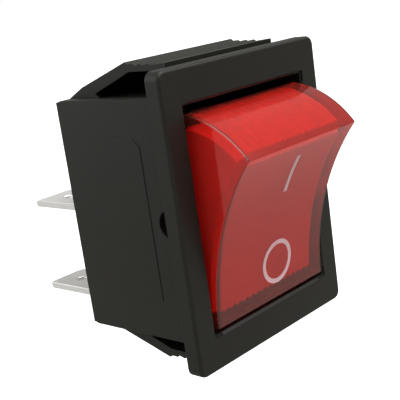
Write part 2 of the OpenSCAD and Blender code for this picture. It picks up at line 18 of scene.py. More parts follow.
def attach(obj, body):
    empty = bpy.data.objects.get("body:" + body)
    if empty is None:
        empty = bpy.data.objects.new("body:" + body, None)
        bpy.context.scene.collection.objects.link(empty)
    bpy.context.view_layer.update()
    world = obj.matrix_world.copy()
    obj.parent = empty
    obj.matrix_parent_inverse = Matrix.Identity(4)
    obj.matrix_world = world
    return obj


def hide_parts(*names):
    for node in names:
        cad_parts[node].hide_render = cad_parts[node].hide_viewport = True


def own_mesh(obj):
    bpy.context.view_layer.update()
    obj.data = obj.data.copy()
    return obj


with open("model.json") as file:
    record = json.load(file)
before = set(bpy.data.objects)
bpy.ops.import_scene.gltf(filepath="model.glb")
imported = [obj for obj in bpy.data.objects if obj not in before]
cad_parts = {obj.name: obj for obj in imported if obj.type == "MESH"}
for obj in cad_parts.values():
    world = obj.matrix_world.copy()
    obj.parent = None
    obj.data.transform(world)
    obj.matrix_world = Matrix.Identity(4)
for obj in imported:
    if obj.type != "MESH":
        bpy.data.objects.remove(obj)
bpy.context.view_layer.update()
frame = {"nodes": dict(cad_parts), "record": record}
MM = 0.001

# %% [markdown]
# ## Writing shaders as expressions
#
# A shader is a graph of nodes, and graphs are slow to read as code. So one small
# class wraps a node's output socket. Adding or multiplying two wrapped sockets adds
# the Math node that does it, and any other node comes from the graph's own method.

# %% A shader graph in a few lines
class Value:
    """One output of a shader node, which can be used in sums."""

    def __init__(self, graph, socket):
        self.graph = graph
        self.socket = socket

    def _math(self, operation, first, second=None):
        settings = {"operation": operation}
        return self.graph.node("ShaderNodeMath", settings, {0: first, 1: second})

    def __add__(self, other):
        return self._math("ADD", self, other)

    __radd__ = __add__

    def __mul__(self, other):
        return self._math("MULTIPLY", self, other)

    __rmul__ = __mul__

    def __sub__(self, other):
        return self._math("SUBTRACT", self, other)

    def __rsub__(self, other):
        return self._math("SUBTRACT", other, self)

    def __truediv__(self, other):
        return self._math("DIVIDE", self, other)

    def __rtruediv__(self, other):
        return self._math("DIVIDE", other, self)

    def turned(self, function):
        """The value put through a function such as SINE, COSINE or ABSOLUTE."""
        return self._math(function, self)


class Graph:
    """A material's or world's node tree, emptied and ready to fill."""

    def __init__(self, tree):
        self.tree = tree
        tree.nodes.clear()

    def node(self, kind, settings=None, inputs=None, out=0):
        """Adds a node: its settings come first, then its inputs' values or links."""
        made = self.tree.nodes.new(kind)
        for name, value in (settings or {}).items():
            setattr(made, name, value)
        for key, value in (inputs or {}).items():
            if value is None:
                continue
            if isinstance(value, Value):
                self.tree.links.new(value.socket, made.inputs[key])
            else:
                made.inputs[key].default_value = value
        return Value(self, made.outputs[out]) if made.outputs else None

    def smooth(self, value, low, high, start=0.0, end=1.0):
        """Goes smoothly from start to end while value goes from low to high."""
        settings = {"interpolation_type": "SMOOTHSTEP"}
        inputs = {0: value, 1: low, 2: high, 3: start, 4: end}
        return self.node("ShaderNodeMapRange", settings, inputs)

    def mix(self, factor, first, second):
        """Blends two colours."""
        return self.node(
            "ShaderNodeMix", {"data_type": "RGBA"}, {0: factor, 6: first, 7: second}, 2
        )

    def noise(self, place, scale, detail=2.0, rough=0.5):
        """Noise over a position, with scale in features per millimetre."""
        inputs = {0: place, 2: scale / MM, 3: detail, 4: rough}
        return self.node("ShaderNodeTexNoise", None, inputs)

    def place(self):
        """The position in the piece's own coordinates, in metres."""
        return self.node("ShaderNodeTexCoord", None, None, 3)

    def stretched(self, place, scale):
        """A position pulled out or squeezed along each axis."""
        settings = {"vector_type": "POINT"}
        return self.node("ShaderNodeMapping", settings, {0: place, 3: scale})

    def bump(self, height, strength, depth_mm):
        """A normal that follows a small height."""
        inputs = {"Strength": strength, "Distance": depth_mm * MM, "Height": height}
        return self.node("ShaderNodeBump", None, inputs)

    def axes(self, vector):
        """The three numbers of a vector."""
        split = self.node("ShaderNodeSeparateXYZ", None, {0: vector}).socket.node
        return [Value(self, socket) for socket in split.outputs]


FINISH_END = "_finish"


def material(slot, **settings):
    """A material for one of the record's slots: a Principled shader, and its graph."""
    made = bpy.data.materials.new(slot + FINISH_END)
    made.use_nodes = True
    graph = Graph(made.node_tree)
    shader = graph.node("ShaderNodeBsdfPrincipled", None, settings)
    graph.node("ShaderNodeOutputMaterial", None, {0: shader})
    graph.shader = shader.socket.node
    return made, graph


def feed(graph, **values):
    """Links values to the Principled shader's sockets, whose spaces are underscores here."""
    for name, value in values.items():
        graph.tree.links.new(value.socket, graph.shader.inputs[name.replace("_", " ")])


print("shader helpers ready")

# %% [markdown]
# ## Black moulded plastic
#
# The housing is glass-filled nylon, moulded in a tool whose steel was spark-eroded,
# so its skin has a fine even grain and no shine. A flat black with one roughness
# would look like paper. So noise at three scales is used: slow for the sheen where
# the melt flowed, fine for the grain, and finer still for the odd pale speck of
# fibre at the surface.

# %% The housing's plastic
def black_plastic():
    made, g = material("housing_plastic", **{"Specular IOR Level": 0.24, "IOR": 1.5})
    place = g.place()
    grain = g.noise(place, 9.0, 3.0, 0.6)
    flow = g.noise(place, 0.16, 3.0)
    specks = g.noise(place, 26.0, 1.0)
    tone = g.mix(flow, (0.0125, 0.0122, 0.0098, 1), (0.0165, 0.0161, 0.0130, 1))
    tone = g.mix(g.smooth(specks, 0.60, 0.72, 0.0, 0.35), tone, (0.026, 0.026, 0.023, 1))
    rough = 0.34 + 0.08 * flow + 0.10 * grain
    normal = g.bump(grain * 0.7 + specks * 0.3, 0.35, 0.02)
    feed(g, Base_Color=tone, Roughness=rough, Normal=normal)
    return made


housing_plastic = black_plastic()
print("made", housing_plastic.name)

# %% [markdown]
# ## The clear lens
#
# The rocker's skin is clear acrylic tinted a smoky red, a shell 1.3 mm thick. The
# core fills it so closely that light hardly turns where the two meet, and the core
# looks printed on the lens's inside. A shell with air behind it would show a second
# bright skin instead. So the outer faces are glass with a little tint, a little haze
# and the faint ripple of any polished moulding, and the inner faces, which touch the
# core, get a finish of their own that lets light pass straight on. Along the two side
# edges light runs a long way through the wall, and that darkening is painted into the
# colour there as a deep brown band of painted shade.

# %% The lens's plastic
# the second colour is the deep brown painted along the two side edges as painted shade
LENS_TINT, EDGE_PAINTED_SHADE = (0.95, 0.100, 0.072, 1), (0.34, 0.090, 0.055, 1)
EDGE_INNER, EDGE_OUTER = (8.85, 9.08), (9.24, 9.29)


def clear_red():
    made, g = material(
        "lens_plastic",
        **{
            "Transmission Weight": 0.88,
            "IOR": 1.49,
            "Coat Weight": 0.15,
            "Coat Roughness": 0.02,
        },
    )
    place = g.place()
    ripple = g.noise(place, 0.35, 1.0)
    haze = g.noise(place, 1.5, 3.0)
    across, _, _ = g.axes(place)
    width = across.turned("ABSOLUTE") / MM
    # painted shade: a deep brown band along the two side edges, for the long path through the
    # tinted wall
    edge = g.smooth(width, *EDGE_INNER) * g.smooth(width, *EDGE_OUTER, 1.0, 0.0)
    tint = g.mix(edge, LENS_TINT, EDGE_PAINTED_SHADE)
    feed(
        g,
        Base_Color=tint,
        Roughness=0.06 + 0.05 * haze,
        Normal=g.bump(ripple, 0.04, 0.03),
    )
    return made


def wetted_face():
    """The face of the lens that lies on the core: no turn and no glint."""
    made, g = material("lens_inner_face", **{"Transmission Weight": 1.0, "IOR": 1.0})
    dust = g.smooth(g.noise(g.place(), 2.5, 2.0), 0.55, 0.75, 0.0, 0.05)
    feed(g, Roughness=dust, Base_Color=g.mix(dust, (1, 1, 1, 1), (0.8, 0.6, 0.6, 1)))
    return made


lens_plastic = clear_red()
lens_inner_face = wetted_face()
print("made", lens_plastic.name, "and", lens_inner_face.name)

# %% [markdown]
# ## The bright core
#
# Inside the lens sits the core, moulded in a bright translucent red that lets the
# lamp shine through. A little subsurface scattering softens its shadows. Its two
# pivot pins end outside the lens, in the housing's walls, where no light comes, and
# that shade is painted on them as an almost black colour. That is a mask on X.

# %% The core's plastic
# where the painted shade on the pin ends starts, and where it is full
PIN_FROM, PIN_DARK = 9.5, 9.7


def bright_red():
    made, g = material(
        "core_plastic",
        **{"Specular IOR Level": 0.25, "Subsurface Weight": 0.25, "Subsurface Scale": 0.8 * MM},
    )
    place = g.place()
    flow = g.noise(place, 0.2, 2.0)
    tone = g.mix(flow, (0.88, 0.045, 0.03, 1), (0.93, 0.06, 0.042, 1))
    across, _, _ = g.axes(place)
    # painted shade: past PIN_FROM the core is coloured almost black, standing in for the shade
    # inside the housing walls
    pin_painted_shade = g.smooth(across.turned("ABSOLUTE") / MM, PIN_FROM, PIN_DARK)
    tone = g.mix(pin_painted_shade, tone, (0.02, 0.006, 0.006, 1))
    feed(g, Base_Color=tone, Roughness=0.42 + 0.1 * flow)
    return made


core_plastic = bright_red()
print("made", core_plastic.name)

# %% [markdown]
# ## Metals
#
# The tabs are tin over brass, stamped from rolled strip, so fine streaks run along
# the strip. The streaks are noise squeezed hard across the rolling direction. Plated
# tin is never a mirror: a share of it scatters light, so it is not fully metallic
# here. Turned and drawn parts get the same recipe with no direction.

# %% Rolled, drawn and cast metals
def metal(name, colour, dark, rough, streak_scale, metallic=1.0):
    made, g = material(name, Metallic=metallic)
    place = g.place()
    streaks = g.noise(g.stretched(place, streak_scale), 2.2, 3.0, 0.6)
    stain = g.noise(place, 0.35, 3.0)
    tone = g.mix(g.smooth(stain, 0.45, 0.75, 0.0, 0.5), (*colour, 1), (*dark, 1))
    feed(
        g,
        Base_Color=tone,
        Roughness=rough + 0.14 * streaks,
        Normal=g.bump(streaks, 0.12, 0.01),
    )
    return made


ALONG_Y = (9.0, 0.5, 9.0)
ALONG_Z = (9.0, 9.0, 0.5)
EVEN = (1.0, 1.0, 1.0)
TIN_SHARE = 0.6
terminal_silver = metal(
    "terminal_silver", (0.92, 0.915, 0.91), (0.84, 0.835, 0.83), 0.24, ALONG_Y, TIN_SHARE
)
contact_silver = metal("contact_silver", (0.90, 0.89, 0.87), (0.70, 0.68, 0.64), 0.22, EVEN)
copper_strip = metal("copper_strip", (0.86, 0.52, 0.36), (0.60, 0.33, 0.22), 0.26, ALONG_Z)
brass = metal("brass", (0.85, 0.66, 0.36), (0.62, 0.45, 0.22), 0.22, EVEN)
spring_steel = metal("spring_steel", (0.62, 0.62, 0.63), (0.45, 0.44, 0.43), 0.28, EVEN)
tinned_wire = metal("tinned_wire", (0.78, 0.78, 0.77), (0.62, 0.61, 0.59), 0.3, EVEN)
print("made six metals")

# %% [markdown]
# ## Glass and lacquer
#
# The lamp and its series resistor are hidden unless the rocker is opened, and still
# get their own finish: clear glass with a little warm soot, and brown lacquer with
# its darker bands.

# %% The lamp's glass and the resistor's lacquer
def lamp_glass_material():
    made, g = material("lamp_glass", **{"Transmission Weight": 0.9, "IOR": 1.5})
    soot = g.noise(g.place(), 0.6, 1.0)
    tone = g.mix(soot, (1.0, 0.90, 0.84, 1), (1.0, 0.80, 0.70, 1))
    feed(g, Base_Color=tone, Roughness=0.02 + 0.06 * soot)
    return made


def resistor_lacquer():
    made, g = material("resistor_body", **{"Coat Weight": 0.4})
    along = g.stretched(g.place(), (1.0, 0.01, 0.01))
    band = g.smooth(g.noise(along, 1.1, 0.0), 0.5, 0.53)
    tone = g.mix(band, (0.42, 0.27, 0.16, 1), (0.12, 0.05, 0.03, 1))
    feed(g, Base_Color=tone, Roughness=0.3 + 0.2 * band)
    return made


lamp_glass = lamp_glass_material()
resistor_body = resistor_lacquer()
print("made", lamp_glass.name, "and", resistor_body.name)

# %% [markdown]
# ## From modifier to plain mesh
#
# Modifiers and Geometry Nodes do their work only while Blender shows an object. The
# pieces here are kept as plain meshes, so that they look the same everywhere. One
# helper takes the evaluated result, puts it in the object's place and drops the
# modifiers.

# %% Small helpers for objects and meshes
LARGEST_FACE_ONLY = 100


def linked(name, mesh):
    """An object for a mesh, at the origin, in the scene."""
    made = bpy.data.objects.new(name, mesh)
    bpy.context.scene.collection.objects.link(made)
    return made


def settled(obj):
    """The object with its modifiers turned into plain mesh, and the old mesh gone."""
    seen = obj.evaluated_get(bpy.context.evaluated_depsgraph_get())
    old = obj.data
    new = bpy.data.meshes.new_from_object(seen)
    obj.modifiers.clear()
    obj.data = new
    bpy.data.meshes.remove(old)
    return obj


def round_edges(obj, width, segments, angle=30.0):
    """Rounds every edge that turns by more than the angle."""
    bevel = obj.modifiers.new("round", "BEVEL")
    bevel.width = width
    bevel.segments = segments
    bevel.limit_method = "ANGLE"
    bevel.angle_limit = math.radians(angle)
    bevel.miter_outer = "MITER_ARC"
    return settled(obj)


def shade(obj, angle=40.0):
    """Smooth shading, creased where the surface turns by more than the angle.

    Each corner's normal leans to its largest face, so that flat faces look flat.
    """
    obj.data.shade_smooth()
    obj.data.set_sharp_from_angle(angle=math.radians(angle))
    lean = obj.modifiers.new("lean", "WEIGHTED_NORMAL")
    lean.keep_sharp = True
    lean.weight = LARGEST_FACE_ONLY
    return settled(obj)


def finished(obj, body, finish, *replaced):
    """Puts a piece on its body, in its finish, in place of the solids it stands for."""
    if not obj.data.materials:
        obj.data.materials.append(finish)
    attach(obj, body)
    if replaced:
        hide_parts(*replaced)
    return obj


BODIES = frame["record"]["behaviour"]["bodies"]
BODY_OF = {node: body for body, nodes in BODIES.items() for node in nodes}
print("the lens rides on the body called", BODY_OF["rocker_lens"])

# %% [markdown]
# ## Rounding the solids
#
# A solid from the frame has sharp edges. Nothing moulded, stamped or turned has: a
# mould's corners wear, a punch leaves a rolled edge, and these small rounds catch the
# light that makes a thing look real. A solid's mesh is loose triangles and is left
# alone. So a copy of it is merged, its flat faces are joined up, its edges get a
# Bevel modifier as wide as the real round, and the copy takes the solid's place.

# %% Rounded copies of the solids
POLE_X = 5.8
TAB_HOLE_Y, TAB_HOLE_R, TAB_HOLE_FLARE = 23.1, 0.7, 0.3
RIM_SLACK, LEVEL_SLACK = 0.02, 0.01
MERGE_WITHIN = 0.0005
FLAT_WITHIN = math.radians(0.4)


def flare_holes(bm):
    """Flares both rims of the hole in a tab, as the punch for a socket's dimple does."""

    def on_rim(vert):
        out = math.hypot(abs(vert.co.x) - POLE_X * MM, vert.co.y - TAB_HOLE_Y * MM)
        return abs(out - TAB_HOLE_R * MM) < RIM_SLACK * MM

    def is_level(edge):
        first, second = edge.verts
        return abs(first.co.z - second.co.z) < LEVEL_SLACK * MM

    rims = [edge for edge in bm.edges if all(map(on_rim, edge.verts)) and is_level(edge)]
    offset = TAB_HOLE_FLARE * MM
    bmesh.ops.bevel(bm, geom=rims, offset=offset, segments=3, profile=0.5, affect="EDGES")
    return len(rims)


def rounded_copy(node, width_mm, segments=2):
    """A merged copy of a solid, with rounds of the given width on its edges."""
    mesh = frame["nodes"][node].data.copy()
    mesh.materials.clear()
    bm = bmesh.new()
    bm.from_mesh(mesh)
    bmesh.ops.remove_doubles(bm, verts=bm.verts, dist=MERGE_WITHIN * MM)
    bmesh.ops.dissolve_limit(bm, angle_limit=FLAT_WITHIN, verts=bm.verts, edges=bm.edges)
    if "terminal" in node:
        print(node, "has", flare_holes(bm), "rim edges")
    bm.to_mesh(mesh)
    bm.free()
    copy = linked(node + "_rounded", mesh)
    if width_mm:
        round_edges(copy, width_mm * MM, segments)
    return shade(copy)


ROUNDED = {
    "housing": (housing_plastic, 0.10),
    "rocker_core": (core_plastic, 0.05),
    "neon_lamp": (lamp_glass, 0.0),
    "lamp_resistor": (resistor_body, 0.0),
    "plunger_left": (brass, 0.05),
    "plunger_right": (brass, 0.05),
    "bridge_left": (copper_strip, 0.06),
    "bridge_right": (copper_strip, 0.06),
    "moving_contact_left": (contact_silver, 0.04),
    "moving_contact_right": (contact_silver, 0.04),
    "fixed_contact_left": (contact_silver, 0.06),
    "fixed_contact_right": (contact_silver, 0.06),
    "centre_terminal_left": (terminal_silver, 0.08),
    "centre_terminal_right": (terminal_silver, 0.08),
    "end_terminal_left": (terminal_silver, 0.08),
    "end_terminal_right": (terminal_silver, 0.08),
}
for node, (finish, width) in ROUNDED.items():
    copy = finished(rounded_copy(node, width), BODY_OF[node], finish, node)
    print(f"{copy.name}: {len(copy.data.polygons)} faces")

# %% [markdown]
# The lamp's two leads are thin wires whose solids are right as they are. They stay,
# and only their material slots change.

# %% The leads keep their solids
for node in ("lamp_lead_left", "lamp_lead_right"):
    for slot in frame["nodes"][node].material_slots:
        slot.material = tinned_wire
print("two leads in", tinned_wire.name)

# %% [markdown]
# ## The rocker's own shape
#
# The lens is two arcs and a hollow face, drawn in the side view about the pivot and
# pushed along X. The solid's edges are sharp, while the real moulding's are round,
# and a clear piece shows that at once. So the lens is built again from the same
# sizes, with round ridges and fine arcs, and it takes the solid's place.

# %% Sizes of the rocker, in millimetres about its pivot
LEAN = math.radians(20.5)
PIVOT_Y = 1.0
END_R, LEAD, FACE_R = 11.45, 0.75, 28.2
RIDGE_ANGLE, SKIRT_ANGLE = math.radians(53.9), math.radians(99.0)
LENS_W, WALL = 18.6, 1.3
RIDGE_REACH = END_R + LEAD * math.cos(RIDGE_ANGLE)
RIDGE = (-RIDGE_REACH * math.cos(RIDGE_ANGLE), RIDGE_REACH * math.sin(RIDGE_ANGLE))
FACE_Y = RIDGE[0] - math.sqrt(FACE_R**2 - RIDGE[1] ** 2)
SKIRT_Y = -END_R * math.cos(SKIRT_ANGLE)
PIN_SLOT = 3.8
PAST_SKIRT = SKIRT_Y + 1.0
TURN_OF_ROCKER = Matrix.Rotation(LEAN, 4, "X")
print(f"ridge at {RIDGE[0]:.2f}, {RIDGE[1]:.2f}; face middle at {FACE_Y + FACE_R:.2f}")


def at_rocker(mesh):
    """Moves a mesh from millimetres about the pivot to its place in the frame."""
    pivot = Matrix.Translation((0, PIVOT_Y * MM, 0))
    mesh.transform(pivot @ TURN_OF_ROCKER @ Matrix.Scale(MM, 4))
    mesh.update()
    return mesh


# %% The side view
def arc(centre, radius, start, end, steps):
    """Points (y, z) on an arc. Angles are taken from the front, -Y, towards +Z."""
    angles = np.linspace(start, end, steps)
    y = centre - radius * np.cos(angles)
    return np.stack([y, radius * np.sin(angles)], 1)


HALVINGS = 60


def rocker_outline(end_r, hollow_r, rear_y, steps=48):
    """The rocker's outline: one end, the face and the other end.

    The ridge, where the end meets the hollow face, is found by halving an angle.
    """
    base = -LEAD
    rear_angle = math.acos((base - rear_y) / end_r)
    low, high = RIDGE_ANGLE * 0.3, rear_angle
    for _ in range(HALVINGS):
        mid = (low + high) / 2
        y, z = base - end_r * math.cos(mid), end_r * math.sin(mid)
        inside_hollow = (y - FACE_Y) ** 2 + z**2 < hollow_r**2
        low, high = (mid, high) if inside_hollow else (low, mid)
    ridge_z = end_r * math.sin(high)
    upper = arc(base, end_r, rear_angle, high, steps)
    half = math.asin(ridge_z / hollow_r)
    tilt = np.linspace(half, -half, 2 * steps)
    face = np.stack([FACE_Y + hollow_r * np.cos(tilt), hollow_r * np.sin(tilt)], 1)
    lower = upper[::-1] * [1, -1]
    return np.concatenate([upper, face[1:-1], lower])


CORNER_TURN = math.radians(30)
KEEP_CLEAR = 0.02


def rounded_corner(points, radius, steps=8):
    """Rounds each corner of an outline that turns by more than the angle above."""
    count = len(points)
    corners = []
    for i, p in enumerate(points):
        u, v = points[i - 1] - p, points[(i + 1) % count] - p
        u, v = u / np.linalg.norm(u), v / np.linalg.norm(v)
        turn = math.pi - math.acos(np.clip(u @ v, -1, 1))
        if turn > CORNER_TURN:
            back = radius * math.tan(turn / 2)
            weights = [((1 - t) ** 2, 2 * t * (1 - t), t**2) for t in np.linspace(0, 1, steps)]
            bend = [a * (p + u * back) + b * p + c * (p + v * back) for a, b, c in weights]
            corners.append((i, p, back, bend))
    out = []
    for i, p in enumerate(points):
        bend = [c[3] for c in corners if c[0] == i]
        if bend:
            out += bend[0]
        elif all(np.linalg.norm(p - c[1]) > c[2] + KEEP_CLEAR for c in corners):
            out.append(p)
    return np.array(out)


outline = rocker_outline(END_R, FACE_R, SKIRT_Y)
print("outline has", len(outline), "points")

# %% [markdown]
# A prism is the outline pushed along X. Its four long edges are then rounded with a
# Bevel modifier, the hollow and the pin slots are cut with booleans, and what comes
# out is one closed shell with its faces outwards. The faces that came from the
# hollow are found by their depth under the skin, and get the inner finish.

# %% Build the lens
def prism(name, points, width):
    """A closed prism: an outline of (y, z) pushed along X, centred on it."""
    mesh = bpy.data.meshes.new(name)
    bm = bmesh.new()
    caps = [[bm.verts.new((x, y, z)) for y, z in points] for x in (-width / 2, width / 2)]
    bm.faces.new(caps[0])
    bm.faces.new(caps[1][::-1])
    count = len(points)
    for i in range(count):
        k = (i + 1) % count
        bm.faces.new([caps[0][i], caps[1][i], caps[1][k], caps[0][k]])
    bmesh.ops.recalc_face_normals(bm, faces=bm.faces)
    bm.to_mesh(mesh)
    bm.free()
    return linked(name, mesh)


def cut(obj, *cutters):
    """Takes each cutter away from the object, then deletes the cutter."""
    for cutter in cutters:
        step = obj.modifiers.new("cut", "BOOLEAN")
        step.operation = "DIFFERENCE"
        step.solver = "EXACT"
        step.object = cutter
        settled(obj)
        bpy.data.objects.remove(cutter)
    return obj


def depth_under_skin(point):
    """How far a point of the rocker is under the lens's sides, ends and face."""
    x, y, z = point
    side = LENS_W / 2 - abs(x)
    end = END_R - math.hypot(y + LEAD, z)
    face = math.hypot(y - FACE_Y, z) - FACE_R
    return min(side, end, face)


RIDGE_ROUND, EDGE_ROUND, HOLLOW_ROUND = 0.20, 0.22, 0.15
LENS_CREASE = 28.0
shell_outline = rounded_corner(outline, RIDGE_ROUND)
lens = round_edges(prism("rocker_lens_clear", shell_outline, LENS_W), EDGE_ROUND, 4)
hollow_outline = rocker_outline(END_R - WALL, FACE_R + WALL, PAST_SKIRT)
hollow_outline = rounded_corner(hollow_outline, HOLLOW_ROUND)
hollow = prism("hollow", hollow_outline, LENS_W - 2 * WALL)
slot_round = arc(0, PIN_SLOT / 2, -math.pi / 2, math.pi / 2, 24)
slot_end = [[PAST_SKIRT, PIN_SLOT / 2], [PAST_SKIRT, -PIN_SLOT / 2]]
pin_slot = prism("slot", np.concatenate([slot_round, slot_end]), LENS_W + 2)
cut(lens, hollow, pin_slot)
lens.data.materials.clear()
for finish in (lens_plastic, lens_inner_face):
    lens.data.materials.append(finish)
for face in lens.data.polygons:
    face.material_index = int(depth_under_skin(face.center) > 0.9 * WALL)
inner = sum(face.material_index for face in lens.data.polygons)
at_rocker(lens.data)
shade(lens, LENS_CREASE)
finished(lens, "rocker", lens_plastic, "rocker_lens")
print("lens:", len(lens.data.polygons), "faces,", inner, "of them inside")

# %% [markdown]
# ## The plain fields on the sides
#
# On each side wall the mould leaves a field that stands less than a tenth of a
# millimetre proud. It is bare here. It is one more prism: an outline with its upper
# front corner cut off, pushed along X, with its edges rounded. It starts at the floor
# of the wall's shallow recess and fills it.

# %% The two fields
WALL_X, SUNK_FIELD, PROUD = 10.9, 0.15, 0.07
FIELD_Y, FIELD_Z, FIELD_CORNER, FIELD_ROUND = (3.75, 9.35), (-8.55, 9.05), 1.0, 0.04
field_outline = [
    (FIELD_Y[0], FIELD_Z[0]),
    (FIELD_Y[1], FIELD_Z[0]),
    (FIELD_Y[1], FIELD_Z[1]),
    (FIELD_Y[0] + FIELD_CORNER, FIELD_Z[1]),
    (FIELD_Y[0], FIELD_Z[1] - FIELD_CORNER),
]
for side, way in (("left", -1), ("right", 1)):
    depth = SUNK_FIELD + PROUD
    field = prism("mark_field_" + side, field_outline, depth)
    round_edges(field, FIELD_ROUND, 2)
    middle = way * (WALL_X + PROUD - depth / 2)
    field.data.transform(Matrix.Scale(MM, 4) @ Matrix.Translation((middle, 0, 0)))
    finished(shade(field), "body", housing_plastic)
    print(field.name, len(field.data.polygons), "faces")

# %% [markdown]
# ## Geometry Nodes in a few lines
#
# What repeats or follows a path is made by a Geometry Nodes tree: change one number
# and the piece is right again. A tree is a graph too, so the same class builds it.
# Its sizes are named inputs. A modifier knows an input by its identifier, not by its
# name, so a helper looks the identifiers up and sets them before Blender looks.

# %% Trees and the objects that run them
def geometry_graph(name, **inputs):
    """A Geometry Nodes tree, and its inputs as values by name."""
    tree = bpy.data.node_groups.new(name, "GeometryNodeTree")
    tree.interface.new_socket("Mesh", in_out="OUTPUT", socket_type="NodeSocketGeometry")
    for label, kind in inputs.items():
        tree.interface.new_socket(label, in_out="INPUT", socket_type="NodeSocket" + kind)
    g = Graph(tree)
    given = g.node("NodeGroupInput").socket.node
    return g, {socket.name: Value(g, socket) for socket in given.outputs if socket.name}


def close_tree(g, geometry, finish):
    """Ends a tree: real geometry, in its finish, out."""
    real = g.node("GeometryNodeRealizeInstances", None, {0: geometry})
    dressed = g.node("GeometryNodeSetMaterial", None, {0: real, "Material": finish})
    g.node("NodeGroupOutput", None, {0: dressed})


def grown(obj, tree, **values):
    """The object after the tree has run on it with these values."""
    step = obj.modifiers.new("grow", "NODES")
    step.node_group = tree
    for socket in tree.interface.items_tree:
        if socket.in_out == "INPUT" and socket.name in values:
            step[socket.identifier] = values[socket.name]
    return settled(obj)


print("geometry helpers ready")

# %% [markdown]
# ## The plunger springs
#
# Each plunger stands on a small coil spring in its barrel. A real one has its first
# and last turn wound close, so that it stands square. A spiral primitive has one
# even pitch, so the path is made from a row of points instead: a point's number
# gives its angle, and its height is the sum of three ramps, close, open and close. A
# circle swept along the path gives the wire.

# %% The spring tree
WIRE, COIL_R, TURNS = 0.32, 1.17, 7
STEPS_A_TURN, WIRE_SIDES = 24, 12


def spring_tree():
    g, given = geometry_graph(
        "coil_spring",
        Turns="Int",
        Radius="Float",
        Wire="Float",
        Start="Float",
        End="Float",
        Finish="Material",
    )
    count = given["Turns"] * STEPS_A_TURN + 1
    row = g.node("GeometryNodeMeshLine", {"mode": "OFFSET"}, {"Count": count})
    turn = g.node("GeometryNodeInputIndex") / STEPS_A_TURN
    angle = turn * (2 * math.pi)

    def ramp(low, high, rise):
        inputs = {0: turn, 1: low, 2: high, 3: 0.0, 4: rise}
        return g.node("ShaderNodeMapRange", None, inputs)

    wire, last = given["Wire"], given["Turns"] - 1
    open_rise = given["End"] - given["Start"] - 3.0 * wire
    height = ramp(0.0, 1.0, wire) + ramp(1.0, last, open_rise) + ramp(last, given["Turns"], wire)
    spot = g.node(
        "ShaderNodeCombineXYZ",
        None,
        {
            0: given["Radius"] * angle.turned("COSINE"),
            1: given["Start"] + 0.5 * wire + height,
            2: given["Radius"] * angle.turned("SINE"),
        },
    )
    path = g.node("GeometryNodeSetPosition", None, {0: row, "Position": spot})
    path = g.node("GeometryNodeMeshToCurve", None, {0: path})
    ring = g.node(
        "GeometryNodeCurvePrimitiveCircle",
        {"mode": "RADIUS"},
        {"Resolution": WIRE_SIDES, "Radius": 0.5 * wire},
    )
    coil = g.node("GeometryNodeCurveToMesh", None, {0: path, 1: ring, "Fill Caps": True})
    close_tree(g, coil, given["Finish"])
    return g.tree


coil_spring = spring_tree()
print("spring tree has", len(coil_spring.nodes), "nodes")

# %% [markdown]
# The tree runs once for each pole. Where the spring sits, and how much of its length
# it would keep as the plunger slides in, are worked out, but nothing here shortens it.

# %% The two springs
CORE_GAP, CORE_WALL, FLOOR_T, LEAD_D, SEAT = 0.1, 1.0, 0.35, 0.4, 0.05
PLUNGER_TAIL, SPRING_CREASE = 2.4, 60.0
BARREL_FLOOR = FACE_Y + FACE_R + WALL + CORE_GAP + CORE_WALL + FLOOR_T
SPRING_FROM = BARREL_FLOOR + LEAD_D + SEAT
SPRING_TO = PLUNGER_TAIL - SEAT
SLIDE = 0.6
for side, x in (("left", -POLE_X), ("right", POLE_X)):
    node = "plunger_spring_" + side
    spring = linked(node + "_coiled", bpy.data.meshes.new(node))
    grown(
        spring,
        coil_spring,
        Turns=TURNS,
        Radius=COIL_R,
        Wire=WIRE,
        Start=SPRING_FROM,
        End=SPRING_TO,
        Finish=spring_steel,
    )
    spring.data.transform(Matrix.Translation((x, 0, 0)))
    at_rocker(spring.data)
    shade(spring, SPRING_CREASE)
    finished(spring, "rocker", spring_steel, node)
    seat = Vector((x * MM, PIVOT_Y * MM, 0)) + TURN_OF_ROCKER @ Vector((0, SPRING_FROM * MM, 0))
    keep = 1.0 - SLIDE / (SPRING_TO - SPRING_FROM)
    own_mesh(spring)
    print(spring.name, len(spring.data.polygons), "faces")

# %% [markdown]
# ## The marks on the face
#
# The two marks are hot-stamped on the hollow face: a bar on one end for on, a ring on
# the other for off. Each is a strip of foil, a few hundredths of a millimetre thick,
# that follows a path on a curved surface. So one tree does both. The path is drawn
# flat, a thin flat bar is swept along it, and then every point is wrapped onto the
# face: what was length becomes an angle about the face's centre line.

# %% The foil tree
FOIL, SUNK = 0.03, 0.01
FOIL_TONES = (0.80, 0.50, 0.54, 1), (0.86, 0.56, 0.60, 1)


def foil_tree():
    g, given = geometry_graph(
        "stamped_foil",
        Path="Geometry",
        Width="Float",
        Thickness="Float",
        Sunk="Float",
        Finish="Material",
        **{"Face Radius": "Float", "Face Centre": "Float"},
    )
    path = g.node("GeometryNodeMeshToCurve", None, {0: given["Path"]})
    path = g.node("GeometryNodeSetCurveNormal", {"mode": "Z_UP"}, {0: path})
    bar = g.node(
        "GeometryNodeCurvePrimitiveQuadrilateral",
        {"mode": "RECTANGLE"},
        {"Width": given["Width"], "Height": given["Thickness"]},
    )
    strip = g.node("GeometryNodeCurveToMesh", None, {0: path, 1: bar, "Fill Caps": True})
    x, along, lift = g.axes(g.node("GeometryNodeInputPosition"))
    reach = given["Face Radius"] - (lift + 0.5 * given["Thickness"] - given["Sunk"])
    tilt = along / given["Face Radius"]
    spot = g.node(
        "ShaderNodeCombineXYZ",
        None,
        {
            0: x,
            1: given["Face Centre"] + reach * tilt.turned("COSINE"),
            2: reach * tilt.turned("SINE"),
        },
    )
    wrapped = g.node("GeometryNodeSetPosition", None, {0: strip, "Position": spot})
    close_tree(g, wrapped, given["Finish"])
    return g.tree


